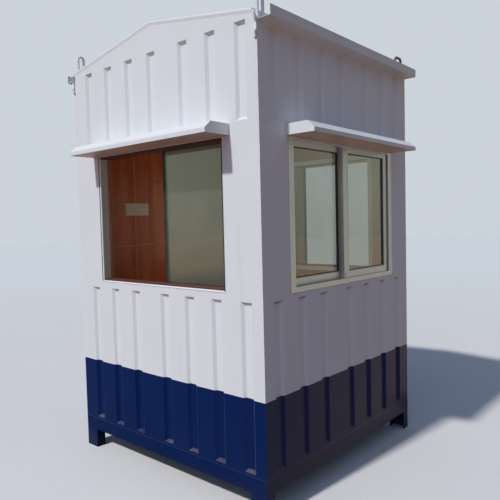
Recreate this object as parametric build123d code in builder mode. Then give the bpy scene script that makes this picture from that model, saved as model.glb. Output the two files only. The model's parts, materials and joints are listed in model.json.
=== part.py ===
"""Security guard booth: pressed steel sheets on a channel base, with three windows, a door and a low gable.

Millimetres, +Z up. The origin is at the middle of the plan, on the ground. The front window
looks along -Y, the framed side window is on the right wall (+X), the door on the left wall.
"""
import os
from math import cos, radians, tan

from build123d import *

# Overall sizes
plan = 1524.0                    # outside of the walls, square
rail_bottom = 117.0              # underside of the base channels
rail_height = 78.0
over_door = 199.0                # from the door frame to the top of the side wall
eaves_rise = 56.2                # roof edge, above the side wall
eaves_inset = 26.0               # roof edge, in from the wall's outer face
roof_pitch = 9.7                 # degrees

# Steel sections
sheet = 2.0
roof_sheet = 3.0
channel_web = 5.0
channel_flange = 40.0
channel_flange_thickness = 7.0
leg_web = 105.0
leg_flange = 58.0
leg_thickness = 6.0
post = 65.0
post_wall = 3.0
rail_clear = 5.0                 # top rails, behind the pressed grooves
top_rail_height = 72.0
ridge_bar_width = 40.0
ridge_bar_height = 40.0

# Boards
floor_thickness = 18.0
floor_set_back = 15.0
lining = 9.0
ceiling_thickness = 8.0
ceiling_lap = 14.0               # ceiling, above the foot of the top rails
bearer_width = 45.0
bearer_place = 254.0

# Pressed grooves
groove_mouth = 72.0
groove_floor = 42.0
groove_depth = 15.0
groove_end = 15.0                # length of the sloped end
groove_pitch = 200.0
lower_groove_gap = 14.0          # above the base channel
surround_clear = 14.0            # below the window's surround
upper_groove_margin = 7.0        # above the top of the visor
gable_groove_rise = 17.0         # above the top of the side walls
side_groove_drop = 11.0          # below it
front_first_margin = 162.0
front_last_margin = 106.0
side_first_margin = 117.0
side_last_margin = 142.0
lower_first_count = 3
upper_first_count = 4

# Front and rear windows
window_half = 522.0
sill_over_floor = 877.0
window_height = 756.0
surround = 30.0
track_depth = 22.0
track_base = 3.0
track_fin = 2.0
track_height = 8.0
glass = 5.0
pane_start = 12.0
pane_stagger = 9.0
fit = 0.3

# Side window
side_flange_half = 545.0
side_sill_drop = 18.0            # flange, below the sill of the other windows
flange_under_visor = 2.0
flange_proud = 3.0
jamb_face = 42.0
sill_face = 26.0
head_face = 12.0
flange_lap = 18.0                # of the flange over the wall sheet
sill_lap = 10.0
head_lap = 4.0
frame_depth = 62.0
sash_depth = 22.0
sash_stile = 41.0
meeting_stile = 58.0
bottom_rail = 40.0
top_rail = 27.0
sash_slack = 10.0                # the far sash stands a little open
meeting_line = -29.0             # along the wall, where the two sashes meet
interlock = 54.0
outer_track = 6.0
track_gap = 4.0

# Door
door_width = 680.0
door_height = 1900.0
door_corner = 102.0              # door frame, from the rear corner
door_frame_face = 40.0
door_leaf_thickness = 38.0
door_gap = 4.0
door_panel_margin = 110.0
door_panel_depth = 6.0
door_panel_slope = 30.0          # degrees
threshold = 20.0
hinge_radius = 8.0
hinge_length = 90.0
hinge_width = 64.0
hinge_thickness = 3.0
hinge_margin = 220.0
handle_height = 1000.0
handle_margin = 60.0
handle_plate_width = 36.0
handle_plate_length = 190.0
handle_plate_thickness = 4.0
handle_reach = 45.0
handle_bar = 16.0
handle_length = 120.0

# Visors
visor_reach = 165.0
visor_flat = 126.0
visor_slope_drop = 34.0
visor_lip = 55.0
end_visor_overhang = 53.0         # past the window opening at each side
side_visor_overhang = 12.0        # past the window's flange
door_visor_overhang = 20.0        # past the door frame
visor_over_head = 4.0

# Gutters
gutter_outside = 78.0
gutter_upstand = 48.0

# Lifting loops
loop_bar = 16.0
front_loop_width = 56.0
front_loop_height = 163.0        # above the gutter
front_loop_lean = 0.0
rear_loop_width = 190.0
rear_loop_height = 136.0
rear_loop_lean = 110.0           # of the inner leg, foot to top; it ends upright
loop_from_end = 14.0
loop_corner = 19.0

half = plan / 2
inside = half - sheet
post_inner = inside - post
room = post_inner - lining
wall_thickness = half - room
reveal = wall_thickness - track_depth

rail_top = rail_bottom + rail_height
floor_top = rail_top + floor_thickness
threshold_top = floor_top + threshold
door_head = floor_top + door_height
door_frame_head = door_head + door_frame_face
side_wall_top = door_frame_head + over_door
rail_foot = side_wall_top - top_rail_height
ceiling_underside = rail_foot + ceiling_lap

eaves_half = half - eaves_inset
roof_fall = tan(radians(roof_pitch))
roof_drop = roof_sheet / cos(radians(roof_pitch))
eaves_top = side_wall_top + eaves_rise
ridge_top = eaves_top + eaves_half * roof_fall

sill_height = floor_top + sill_over_floor
head_height = sill_height + window_height
visor_bottom = head_height + visor_over_head
visor_top = visor_bottom + visor_lip
door_visor_top = door_frame_head + visor_over_head + visor_lip

lower_groove_foot = rail_top + lower_groove_gap
lower_groove_head = sill_height - surround - surround_clear
upper_groove_foot = visor_top + upper_groove_margin
side_groove_head = side_wall_top - side_groove_drop
gable_groove_head = side_wall_top + gable_groove_rise

side_flange_bottom = sill_height - side_sill_drop
side_flange_top = visor_bottom - flange_under_visor
side_hole_half = side_flange_half - flange_lap
side_hole_bottom = side_flange_bottom + sill_lap
side_hole_top = side_flange_top - head_lap
inner_track = outer_track + sash_depth + track_gap

door_centre = half - door_corner - door_frame_face - door_width / 2
door_left = -door_centre - door_width / 2
door_right = -door_centre + door_width / 2
frame_left = door_left - door_frame_face
frame_right = door_right + door_frame_face

# Each wall's plane: x runs to the right as seen from outside, y up, z outward
front = Plane(origin=(0, -half, 0), x_dir=(1, 0, 0), z_dir=(0, -1, 0))
right = Plane(origin=(half, 0, 0), x_dir=(0, 1, 0), z_dir=(1, 0, 0))
rear = Plane(origin=(0, half, 0), x_dir=(-1, 0, 0), z_dir=(0, 1, 0))
left = Plane(origin=(-half, 0, 0), x_dir=(0, -1, 0), z_dir=(-1, 0, 0))
corners = [(-1, -1), (1, -1), (1, 1), (-1, 1)]

os.makedirs("parts", exist_ok=True)


def write(piece, name):
    """Label a finished piece and write its STEP file."""
    piece.part.label = name
    export_step(piece.part, f"parts/{name}.step")


def box_between(low, high):
    """Add an upright rectangle from one corner to the other to the current sketch."""
    with Locations(((low[0] + high[0]) / 2, (low[1] + high[1]) / 2)):
        Rectangle(high[0] - low[0], high[1] - low[1])


def slab(plane, low, high, start, thickness):
    """Add a slab to the current part: from start to start + thickness behind a wall's face."""
    with BuildSketch(plane.offset(-start)) as profile:
        box_between(low, high)
    extrude(profile.sketch, amount=-thickness)


def groove_sections(plane, centre, foot, head, extra):
    """The mouth and the floor of a pressed groove, wider and deeper by extra."""
    middle = (foot + head) / 2
    with BuildSketch(plane) as mouth:
        with Locations((centre, middle)):
            Rectangle(groove_mouth + 2 * extra, head - foot + 2 * extra)
    with BuildSketch(plane.offset(-groove_depth - extra)) as floor:
        with Locations((centre, middle)):
            Rectangle(groove_floor + 2 * extra, head - foot - 2 * groove_end + 2 * extra)
    return [mouth.sketch, floor.sketch]


def grooved_sheet(plane, outline, grooves):
    """A wall sheet with its pressed grooves: each is closed by a slope at both ends."""
    with BuildPart() as wall_sheet:
        with BuildSketch(plane):
            with BuildLine():
                Polyline(*outline, close=True)
            make_face()
        extrude(amount=-sheet)
        for centre, foot, head in grooves:
            loft(groove_sections(plane, centre, foot, head, sheet))
        for centre, foot, head in grooves:
            loft(groove_sections(plane, centre, foot, head, 0), mode=Mode.SUBTRACT)
    return wall_sheet


def rectangle(low, high):
    """The four corners of an upright rectangle."""
    return [low, (high[0], low[1]), high, (low[0], high[1])]


def groove_row(first_margin, last_margin, first_count, foot, head):
    """Grooves at one pitch from both ends of a wall, with the odd step left between them."""
    first = -half + first_margin
    last = half - last_margin
    near_end = first + (first_count - 1) * groove_pitch
    far_count = int((last - near_end - groove_pitch) // groove_pitch) + 1
    near = [first + step * groove_pitch for step in range(first_count)]
    far = [last - step * groove_pitch for step in range(far_count)]
    return [(centre, foot, head) for centre in near + sorted(far)]


def gable_outline(foot):
    """The upper end sheet: cut at both ends beside the gutters, and up to the ridge under the roof."""
    eaves = eaves_top - roof_drop
    ridge = ridge_top - roof_drop
    return [
        (-half, foot), (half, foot), (half, side_wall_top), (eaves_half, eaves),
        (0, ridge), (-eaves_half, eaves), (-half, side_wall_top),
    ]


# Base frame

with BuildPart() as legs:
    for side, end in corners:
        with BuildSketch(Plane.XY):
            box_between(
                (min(side * half, side * (half - leg_web)), min(end * half, end * (half - leg_flange))),
                (max(side * half, side * (half - leg_web)), max(end * half, end * (half - leg_flange))),
            )
        extrude(amount=rail_bottom)
        inner_x = sorted((side * (half - leg_thickness), side * (half - leg_web + leg_thickness)))
        inner_y = sorted((end * (half - leg_thickness), end * (half - leg_flange)))
        with BuildSketch(Plane.XY):
            box_between((inner_x[0], inner_y[0]), (inner_x[1], inner_y[1]))
        extrude(amount=rail_bottom, mode=Mode.SUBTRACT)
write(legs, "legs")


def mitred_strip(plane, height, shallow, deep):
    """A strip of the base in plan, cut at 45 degrees at both ends to meet the next wall's strip."""
    with BuildSketch(Plane(origin=(0, 0, height), x_dir=plane.x_dir, z_dir=(0, 0, 1))) as strip:
        with BuildLine():
            Polyline(
                (-half + shallow, -half + shallow), (half - shallow, -half + shallow),
                (half - deep, -half + deep), (-half + deep, -half + deep), close=True,
            )
        make_face()
    return strip.sketch


def base_channels(planes, name):
    """Two channels with their webs outward, along two opposite walls, mitred at the corners."""
    with BuildPart() as channels:
        for plane in planes:
            extrude(mitred_strip(plane, rail_bottom, 0, channel_flange), amount=rail_height)
            hollow = mitred_strip(plane, rail_bottom + channel_flange_thickness, channel_web, channel_flange)
            extrude(hollow, amount=rail_height - 2 * channel_flange_thickness, mode=Mode.SUBTRACT)
    write(channels, name)


base_channels([front, rear], "base_end_channels")
base_channels([left, right], "base_side_channels")

with BuildPart() as floor_bearers:
    with BuildSketch(Plane.XY.offset(rail_bottom)):
        with GridLocations(2 * bearer_place, 0, 2, 1):
            Rectangle(bearer_width, plan - 2 * channel_flange)
    extrude(amount=rail_height)
    with BuildSketch(Plane.XY.offset(rail_bottom)):
        with GridLocations(2 * bearer_place, 0, 2, 1):
            Rectangle(bearer_width - 2 * channel_web, plan - 2 * channel_flange)
    extrude(amount=rail_height - channel_flange_thickness, mode=Mode.SUBTRACT)
write(floor_bearers, "floor_bearers")

with BuildPart() as floor_board:
    floor_half = half - floor_set_back
    notch = floor_half - post_inner
    with BuildSketch(Plane.XY.offset(rail_top)):
        Rectangle(2 * floor_half, 2 * floor_half)
        with GridLocations(2 * floor_half - notch, 2 * floor_half - notch, 2, 2):
            Rectangle(notch, notch, mode=Mode.SUBTRACT)
    extrude(amount=floor_thickness)
write(floor_board, "floor_board")

# Posts and top rails

with BuildPart() as corner_posts:
    with BuildSketch(Plane.XY.offset(rail_top)):
        with GridLocations(2 * inside - post, 2 * inside - post, 2, 2):
            Rectangle(post, post)
            Rectangle(post - 2 * post_wall, post - 2 * post_wall, mode=Mode.SUBTRACT)
    extrude(amount=side_wall_top - rail_top)
write(corner_posts, "corner_posts")

with BuildPart() as top_rails:
    rail_start = sheet + groove_depth + rail_clear
    for plane in (front, right, rear, left):
        slab(
            plane, (-post_inner, rail_foot), (post_inner, side_wall_top), rail_start, half - post_inner - rail_start,
        )
write(top_rails, "top_rails")

with BuildPart() as ridge_bar:
    bar_top = ridge_top - roof_drop - ridge_bar_width / 2 * roof_fall
    with BuildSketch(front.offset(-sheet)):
        with BuildLine():
            Polyline(
                (-ridge_bar_width / 2, bar_top - ridge_bar_height), (ridge_bar_width / 2, bar_top - ridge_bar_height),
                (ridge_bar_width / 2, bar_top), (0, ridge_top - roof_drop), (-ridge_bar_width / 2, bar_top),
                close=True,
            )
        make_face()
    extrude(amount=-2 * inside)
write(ridge_bar, "ridge_bar")

# Wall sheets of the front, right and rear walls


def window_wall(plane, name, reach, hole_half, hole_bottom, hole_top, upper_outline, margins, groove_top):
    """The lower sheet, the upper sheet and the two flat strips beside a window."""
    lower_row = groove_row(*margins, lower_first_count, lower_groove_foot, lower_groove_head)
    lower = grooved_sheet(plane, rectangle((-reach, rail_top), (reach, hole_bottom)), lower_row)
    write(lower, f"{name}_lower_sheet")
    upper_row = groove_row(*margins, upper_first_count, upper_groove_foot, groove_top)
    upper = grooved_sheet(plane, upper_outline, upper_row)
    write(upper, f"{name}_upper_sheet")
    with BuildPart() as strips:
        slab(plane, (-reach, hole_bottom), (-hole_half, hole_top), 0, sheet)
        slab(plane, (hole_half, hole_bottom), (reach, hole_top), 0, sheet)
    write(strips, f"{name}_side_strips")


end_margins = (front_first_margin, front_last_margin)
side_margins = (side_first_margin, side_last_margin)
gable = gable_outline(head_height)
window_wall(front, "front", half, window_half, sill_height, head_height, gable, end_margins, gable_groove_head)
window_wall(rear, "rear", half, window_half, sill_height, head_height, gable, end_margins, gable_groove_head)
side_upper = rectangle((-inside, side_hole_top), (inside, side_wall_top))
window_wall(
    right, "right", inside, side_hole_half, side_hole_bottom, side_hole_top, side_upper, side_margins,
    side_groove_head,
)

# Left wall, split beside and over the door

groove_room = half - side_first_margin - frame_right - groove_mouth
left_grooves = [
    (half - side_first_margin - step * groove_pitch, lower_groove_foot, side_groove_head)
    for step in range(int(groove_room // groove_pitch) + 1)
]
left_wide = grooved_sheet(left, rectangle((frame_right, rail_top), (inside, side_wall_top)), left_grooves)
write(left_wide, "left_front_sheet")

with BuildPart() as left_narrow:
    slab(left, (-inside, rail_top), (frame_left, side_wall_top), 0, sheet)
write(left_narrow, "left_rear_sheet")

with BuildPart() as left_over_door:
    slab(left, (frame_left, door_frame_head), (frame_right, side_wall_top), 0, sheet)
write(left_over_door, "left_over_door_sheet")

# Window surrounds


def window_surround(plane, hole_half, hole_bottom, hole_top, name):
    """The steel ring round an opening, from the sheet to the room."""
    with BuildPart() as ring:
        with BuildSketch(plane.offset(-sheet)):
            box_between((-hole_half - surround, hole_bottom - surround), (hole_half + surround, hole_top + surround))
            with Locations((0, (hole_bottom + hole_top) / 2)):
                Rectangle(2 * hole_half, hole_top - hole_bottom, mode=Mode.SUBTRACT)
        extrude(amount=-(half - sheet - room))
    write(ring, name)


window_surround(front, window_half, sill_height, head_height, "front_window_surround")
window_surround(rear, window_half, sill_height, head_height, "rear_window_surround")
window_surround(right, side_hole_half, side_hole_bottom, side_hole_top, "right_window_surround")

# Front and rear windows: two frameless panes in a double track


def sliding_panes(plane, name):
    """The tracks of a frameless sliding window, and its two panes, both pushed to the right."""
    with BuildPart() as tracks:
        slab(plane, (-window_half, sill_height), (window_half, sill_height + track_height), reveal, track_depth)
        slab(plane, (-window_half, head_height - track_height), (window_half, head_height), reveal, track_depth)
        slot = (track_depth - 3 * track_fin) / 2
        for step in range(2):
            with BuildSketch(plane.offset(-reveal - track_fin - step * (slot + track_fin))):
                box_between(
                    (-window_half, sill_height + track_base), (window_half, head_height - track_base),
                )
            extrude(amount=-slot, mode=Mode.SUBTRACT)
    write(tracks, f"{name}_window_tracks")
    with BuildPart() as panes:
        for step in range(2):
            start = reveal + track_fin + step * (slot + track_fin) + (slot - glass) / 2
            pane_left = pane_start + step * pane_stagger
            slab(
                plane, (pane_left, sill_height + track_base), (window_half - fit, head_height - track_base),
                start, glass,
            )
    write(panes, f"{name}_window_panes")


sliding_panes(front, "front")
sliding_panes(rear, "rear")

# Side window: an aluminium frame with two sliding sashes

frame_inner_half = side_flange_half - jamb_face
frame_inner_bottom = side_flange_bottom + sill_face
frame_inner_top = side_flange_top - head_face

with BuildPart() as side_window_frame:
    with BuildSketch(right):
        box_between((-side_flange_half, side_flange_bottom), (side_flange_half, side_flange_top))
    extrude(amount=flange_proud)
    slab(
        right, (-side_hole_half + fit, side_hole_bottom + fit), (side_hole_half - fit, side_hole_top - fit),
        0, frame_depth,
    )
    with BuildSketch(right.offset(flange_proud)):
        box_between((-frame_inner_half, frame_inner_bottom), (frame_inner_half, frame_inner_top))
    extrude(amount=-frame_depth - flange_proud, mode=Mode.SUBTRACT)
write(side_window_frame, "side_window_frame")


def sash(low_y, high_y, low_stile, high_stile, start, name):
    """One sliding sash; returns its glass opening."""
    low = (low_y, frame_inner_bottom)
    high = (high_y, frame_inner_top - fit)
    glass_low = (low_y + low_stile, low[1] + bottom_rail)
    glass_high = (high_y - high_stile, high[1] - top_rail)
    with BuildPart() as ring:
        slab(right, low, high, start, sash_depth)
        with BuildSketch(right.offset(-start)):
            box_between(glass_low, glass_high)
        extrude(amount=-sash_depth, mode=Mode.SUBTRACT)
    write(ring, name)
    return glass_low, glass_high


far_end = frame_inner_half - sash_slack
near_glass = sash(
    -frame_inner_half + fit, meeting_line + interlock, sash_stile, meeting_stile, inner_track, "side_sash_near",
)
far_glass = sash(meeting_line, far_end, meeting_stile, sash_stile, outer_track, "side_sash_far")

with BuildPart() as side_window_glass:
    for (low, high), start in ((near_glass, inner_track), (far_glass, outer_track)):
        slab(right, low, high, start + (sash_depth - glass) / 2, glass)
write(side_window_glass, "side_window_glass")

# Door

with BuildPart() as door_frame:
    with BuildSketch(left.offset(flange_proud)):
        box_between((frame_left, floor_top), (frame_right, door_frame_head))
    extrude(amount=-(half - room) - flange_proud)
    slab(left, (frame_left, rail_top), (frame_right, floor_top), 0, floor_set_back)
    with BuildSketch(left.offset(flange_proud)):
        box_between((door_left, threshold_top), (door_right, door_head))
    extrude(amount=-(half - room) - flange_proud, mode=Mode.SUBTRACT)
write(door_frame, "door_frame")

leaf_low = (door_left + door_gap, threshold_top + door_gap)
leaf_high = (door_right - door_gap, door_head - door_gap)

with BuildPart() as door_leaf:
    slab(left, leaf_low, leaf_high, -flange_proud, door_leaf_thickness)
    middle_rail = (leaf_low[1] + leaf_high[1]) / 2
    for foot, head in ((leaf_low[1], middle_rail), (middle_rail, leaf_high[1])):
        with BuildSketch(left.offset(flange_proud)):
            box_between(
                (leaf_low[0] + door_panel_margin, foot + door_panel_margin),
                (leaf_high[0] - door_panel_margin, head - door_panel_margin),
            )
        extrude(amount=-door_panel_depth, taper=door_panel_slope, mode=Mode.SUBTRACT)
write(door_leaf, "door_leaf")

with BuildPart() as door_hinges:
    hinge_line = (leaf_high[0] + door_right) / 2
    for height in (leaf_low[1] + hinge_margin, middle_rail, leaf_high[1] - hinge_margin):
        foot = (hinge_line - hinge_width / 2, height - hinge_length / 2)
        head = (hinge_line + hinge_width / 2, height + hinge_length / 2)
        slab(left, foot, head, -flange_proud, -hinge_thickness)
        with BuildSketch(Plane.XY.offset(height - hinge_length / 2)):
            with Locations((-half - flange_proud - hinge_radius, -hinge_line)):
                Circle(hinge_radius)
        extrude(amount=hinge_length)
write(door_hinges, "door_hinges")

with BuildPart() as door_handle:
    handle_line = leaf_low[0] + handle_margin
    handle_middle = floor_top + handle_height
    slab(
        left, (handle_line - handle_plate_width / 2, handle_middle - handle_plate_length / 2),
        (handle_line + handle_plate_width / 2, handle_middle + handle_plate_length / 2),
        -flange_proud, -handle_plate_thickness,
    )
    with BuildSketch(left.offset(flange_proud + handle_plate_thickness)):
        with Locations((handle_line, handle_middle)):
            Circle(handle_bar / 2)
    extrude(amount=handle_reach)
    with BuildSketch(left.offset(flange_proud + handle_plate_thickness + handle_reach - handle_bar)):
        box_between(
            (handle_line - handle_bar / 2, handle_middle - handle_bar / 2),
            (handle_line + handle_length, handle_middle + handle_bar / 2),
        )
    extrude(amount=handle_bar)
write(door_handle, "door_handle")

# Roof, gutters and lifting loops

for side, name in ((-1, "left"), (1, "right")):
    with BuildPart() as roof:
        with BuildSketch(front):
            with BuildLine():
                Polyline(
                    (0, ridge_top), (side * eaves_half, eaves_top), (side * eaves_half, eaves_top - roof_drop),
                    (0, ridge_top - roof_drop), close=True,
                )
            make_face()
        extrude(amount=-plan)
    write(roof, f"roof_{name}")

with BuildPart() as gutters:
    for side in (-1, 1):
        back = side * (eaves_half - sheet)
        lip = side * (half + gutter_outside)
        with BuildSketch(front.offset(-sheet)):
            with BuildLine():
                Polyline(
                    (back, side_wall_top), (lip, side_wall_top), (lip, side_wall_top + gutter_upstand),
                    (lip - side * sheet, side_wall_top + gutter_upstand),
                    (lip - side * sheet, side_wall_top + sheet), (back + side * sheet, side_wall_top + sheet),
                    (back + side * sheet, eaves_top - roof_drop - fit), (back, eaves_top - roof_drop - fit),
                    close=True,
                )
            make_face()
        extrude(amount=-2 * inside)
write(gutters, "gutters")


def lifting_loops(end, width, height, lean, name):
    """Two bent bars that stand in the gutters at one end; the inner legs may lean."""
    with BuildPart() as loops:
        for side in (-1, 1):
            line_x = side * (eaves_half + sheet + loop_bar / 2)
            outer_y = end * (inside - loop_from_end - loop_bar / 2)
            inner_y = outer_y - end * (width - loop_bar)
            inner_top_y = inner_y + end * lean
            foot = side_wall_top + sheet
            middle_top = foot + height - loop_bar / 2
            corner = min(loop_corner, (width - lean - loop_bar) / 2 - fit)
            bends = [(line_x, outer_y, foot), (line_x, outer_y, middle_top), (line_x, inner_top_y, middle_top)]
            if lean:
                bends.append((line_x, inner_y, foot + loop_bar))
            bends.append((line_x, inner_y, foot))
            with BuildLine():
                FilletPolyline(*bends, radius=corner)
            with BuildSketch(Plane(origin=(line_x, outer_y, foot), z_dir=(0, 0, 1))):
                Circle(loop_bar / 2)
            sweep()
    write(loops, name)


lifting_loops(-1, front_loop_width, front_loop_height, front_loop_lean, "front_lifting_loops")
lifting_loops(1, rear_loop_width, rear_loop_height, rear_loop_lean, "rear_lifting_loops")

# Visors: folded boxes with closed ends, over the windows and the door


def visor(plane, middle, length_half, top, name):
    """A folded visor: flat top, sloped nose, upright lip and flat underside, open at the wall."""
    far = Plane(
        origin=plane.origin + plane.x_dir * (middle + length_half), x_dir=plane.z_dir, z_dir=plane.x_dir * -1,
    )
    foot = top - visor_lip
    with BuildPart() as cover:
        with BuildSketch(far):
            with BuildLine():
                Polyline(
                    (0, foot), (visor_reach, foot), (visor_reach, top - visor_slope_drop), (visor_flat, top),
                    (0, top), close=True,
                )
            make_face()
        extrude(amount=2 * length_half)
        with BuildSketch(far.offset(sheet)):
            with BuildLine():
                Polyline(
                    (0, foot + sheet), (visor_reach - sheet, foot + sheet),
                    (visor_reach - sheet, top - visor_slope_drop - sheet / 2),
                    (visor_flat - sheet / 2, top - sheet), (0, top - sheet), close=True,
                )
            make_face()
        extrude(amount=2 * (length_half - sheet), mode=Mode.SUBTRACT)
    write(cover, name)


visor(front, 0, window_half + end_visor_overhang, visor_top, "visor_front")
visor(rear, 0, window_half + end_visor_overhang, visor_top, "visor_rear")
visor(right, 0, side_flange_half + side_visor_overhang, visor_top, "visor_right")
door_visor_half = door_width / 2 + door_frame_face + door_visor_overhang
visor(left, -door_centre, door_visor_half, door_visor_top, "visor_left")

# Lining boards and ceiling


def lining_board(plane, reach, hole_low, hole_high, name):
    """The board on the room side of a wall, cut round its window or door."""
    with BuildPart() as board:
        with BuildSketch(plane.offset(post_inner - half)):
            box_between((-reach, floor_top), (reach, ceiling_underside))
            with Locations(((hole_low[0] + hole_high[0]) / 2, (hole_low[1] + hole_high[1]) / 2)):
                Rectangle(hole_high[0] - hole_low[0], hole_high[1] - hole_low[1], mode=Mode.SUBTRACT)
        extrude(amount=-lining)
    write(board, name)


end_low = (-window_half - surround, sill_height - surround)
end_high = (window_half + surround, head_height + surround)
side_low = (-side_hole_half - surround, side_hole_bottom - surround)
side_high = (side_hole_half + surround, side_hole_top + surround)
lining_board(front, post_inner, end_low, end_high, "front_lining")
lining_board(rear, post_inner, end_low, end_high, "rear_lining")
lining_board(right, room, side_low, side_high, "right_lining")
lining_board(left, room, (frame_left, floor_top), (frame_right, door_frame_head), "left_lining")

with BuildPart() as ceiling_board:
    with BuildSketch(Plane.XY.offset(ceiling_underside)):
        Rectangle(2 * post_inner, 2 * post_inner)
    extrude(amount=ceiling_thickness)
write(ceiling_board, "ceiling_board")
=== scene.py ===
# %% [markdown]
# A guard booth, dressed. The steel shell, its windows and its door come from the packed
# frame at their real size. This lesson gives each surface its finish and adds what a
# fabricator adds last: gaskets, screws, sealant, weld beads and trims.

# %% The frame
import json
import math
import random

import bmesh
import bpy
from mathutils import Matrix, Vector


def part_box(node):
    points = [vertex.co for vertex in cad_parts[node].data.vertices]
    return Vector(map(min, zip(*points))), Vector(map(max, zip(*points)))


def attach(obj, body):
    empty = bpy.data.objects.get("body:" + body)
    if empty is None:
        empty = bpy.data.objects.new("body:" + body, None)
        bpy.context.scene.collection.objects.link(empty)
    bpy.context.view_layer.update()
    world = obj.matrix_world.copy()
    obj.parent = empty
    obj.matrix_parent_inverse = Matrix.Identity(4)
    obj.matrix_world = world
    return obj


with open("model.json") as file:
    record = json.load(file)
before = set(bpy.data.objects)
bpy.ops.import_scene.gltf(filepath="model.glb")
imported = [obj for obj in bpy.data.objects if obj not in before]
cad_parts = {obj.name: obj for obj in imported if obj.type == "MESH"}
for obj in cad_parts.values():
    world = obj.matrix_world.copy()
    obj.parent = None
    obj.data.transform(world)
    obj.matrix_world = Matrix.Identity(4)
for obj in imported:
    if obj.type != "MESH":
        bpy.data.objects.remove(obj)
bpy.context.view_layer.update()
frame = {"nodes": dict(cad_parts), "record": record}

# %% [markdown]
# Every wall is worked on in its own flat coordinates: u runs to the right as seen from
# outside, v up, and w out of the wall's face. One matrix for each wall turns these into
# the booth's frame, so a screw is placed by the sizes that a fitter would measure
# there.

# %% Walls
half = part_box("front_lower_sheet")[1].x
front_wall = Matrix.Translation((0, -half, 0)) @ Matrix.Rotation(math.pi / 2, 4, "X")
turns = {"front": 0, "right": 90, "rear": 180, "left": 270}
walls = {wall: Matrix.Rotation(math.radians(turn), 4, "Z") @ front_wall for wall, turn in turns.items()}


def on_wall(node, wall):
    """A node's lowest and highest corner in a wall's u, v and w."""
    back = walls[wall].inverted()
    low, high = (back @ Vector(corner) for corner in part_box(node))
    return Vector(map(min, low, high)), Vector(map(max, low, high))


print("half plan", half)

# %% [markdown]
# A finish is a small web of nodes. Its maths could be wired up node by node, but it
# reads better as sums. A Value stands for one output socket, and adding, subtracting,
# multiplying or comparing it adds the Math node that does so.

# %% Sums of sockets


class Value:
    """An output socket that Python sums can use."""

    def __init__(self, finish, socket):
        self.finish = finish
        self.socket = socket

    def __add__(self, other):
        return self.finish.maths("ADD", self, other)

    def __sub__(self, other):
        return self.finish.maths("SUBTRACT", self, other)

    def __rsub__(self, other):
        return self.finish.maths("SUBTRACT", other, self)

    def __mul__(self, other):
        return self.finish.maths("MULTIPLY", self, other)

    def __gt__(self, other):
        return self.finish.maths("GREATER_THAN", self, other)

    __radd__ = __add__
    __rmul__ = __mul__


print("sums ready")

# %% [markdown]
# A Finish is one material. Its method node makes any node, and the short methods below
# are the few that most finishes use. All read Object coordinates, here metres in the
# booth's own frame, so dust can lie low and paint can change at a real height.

# %% Finishes


def shade(colour, amount):
    """A colour made darker or paler as a whole."""
    return tuple(amount * part for part in colour)


class Finish:
    """A material that is being made: its shader, and the nodes that feed it."""

    def __init__(self, name, **constants):
        self.material = bpy.data.materials.new(name)
        self.material.use_nodes = True
        self.tree = self.material.node_tree
        self.shader = next(node for node in self.tree.nodes if node.type == "BSDF_PRINCIPLED")
        self.place = self.node("ShaderNodeTexCoord", output="Object")
        self.feed(**constants)

    def plug(self, socket, value):
        """Link a Value to a socket, or set the socket to a number or a colour."""
        if isinstance(value, Value):
            self.tree.links.new(value.socket, socket)
        elif socket.type == "RGBA" and len(value) == 3:
            socket.default_value = (*value, 1)
        else:
            socket.default_value = value

    def node(self, kind, settings=None, inputs=None, output=0):
        """Any node: its settings come first, because they can change its sockets."""
        made = self.tree.nodes.new(kind)
        for key, value in (settings or {}).items():
            setattr(made, key, value)
        for key, value in (inputs or {}).items():
            self.plug(made.inputs[key], value)
        return Value(self, made.outputs[output])

    def feed(self, **inputs):
        """Set or link sockets of the shader: base_color feeds Base Color, and so on."""
        for name, value in inputs.items():
            socket = name.replace("_", " ").title().replace("Ior", "IOR")
            self.plug(self.shader.inputs[socket], value)

    def maths(self, operation, *values, clamp=False):
        """A Math node, for what the sums above don't cover."""
        settings = {"operation": operation, "use_clamp": clamp}
        return self.node("ShaderNodeMath", settings, dict(enumerate(values)))

    def part(self, vector, axis):
        """One coordinate of a vector, by its letter."""
        return self.node("ShaderNodeSeparateXYZ", inputs={0: vector}, output=axis)

    def mix(self, factor, first, second, blend="MIX"):
        """A colour between two: the first where the factor is 0, the second where it is 1."""
        settings = {"data_type": "RGBA", "blend_type": blend}
        return self.node("ShaderNodeMix", settings, {0: factor, 6: first, 7: second}, 2)

    def noise(self, scale, detail=3.0, roughness=0.5, turn=(0, 0, 0)):
        """Soft patches from 0 to 1, scale of them to a metre; three scales draw them out along an axis."""
        place = self.place
        if isinstance(scale, tuple):
            place = self.node("ShaderNodeMapping", inputs={"Vector": place, "Scale": scale, "Rotation": turn})
            scale = 1.0
        inputs = {"Vector": place, "Scale": scale, "Detail": detail, "Roughness": roughness}
        return self.node("ShaderNodeTexNoise", inputs=inputs, output="Fac")

    def ramp(self, value, low, high):
        """A smooth step from 0 at low to 1 at high; low may be the greater."""
        if low > high:
            return 1 - self.ramp(value, high, low)
        settings = {"interpolation_type": "SMOOTHSTEP"}
        return self.node("ShaderNodeMapRange", settings, {"Value": value, "From Min": low, "From Max": high})

    def facing(self, axis):
        """How far the surface looks along an axis: 1 along it, -1 against it."""
        return self.part(self.node("ShaderNodeNewGeometry", output="Normal"), axis)

    def bump(self, height, distance, normal=None):
        """A normal that tilts as if the surface rose by distance metres."""
        inputs = {"Height": height, "Distance": distance}
        if normal:
            inputs["Normal"] = normal
        return self.node("ShaderNodeBump", inputs=inputs)


print("finishes ready")
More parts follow.
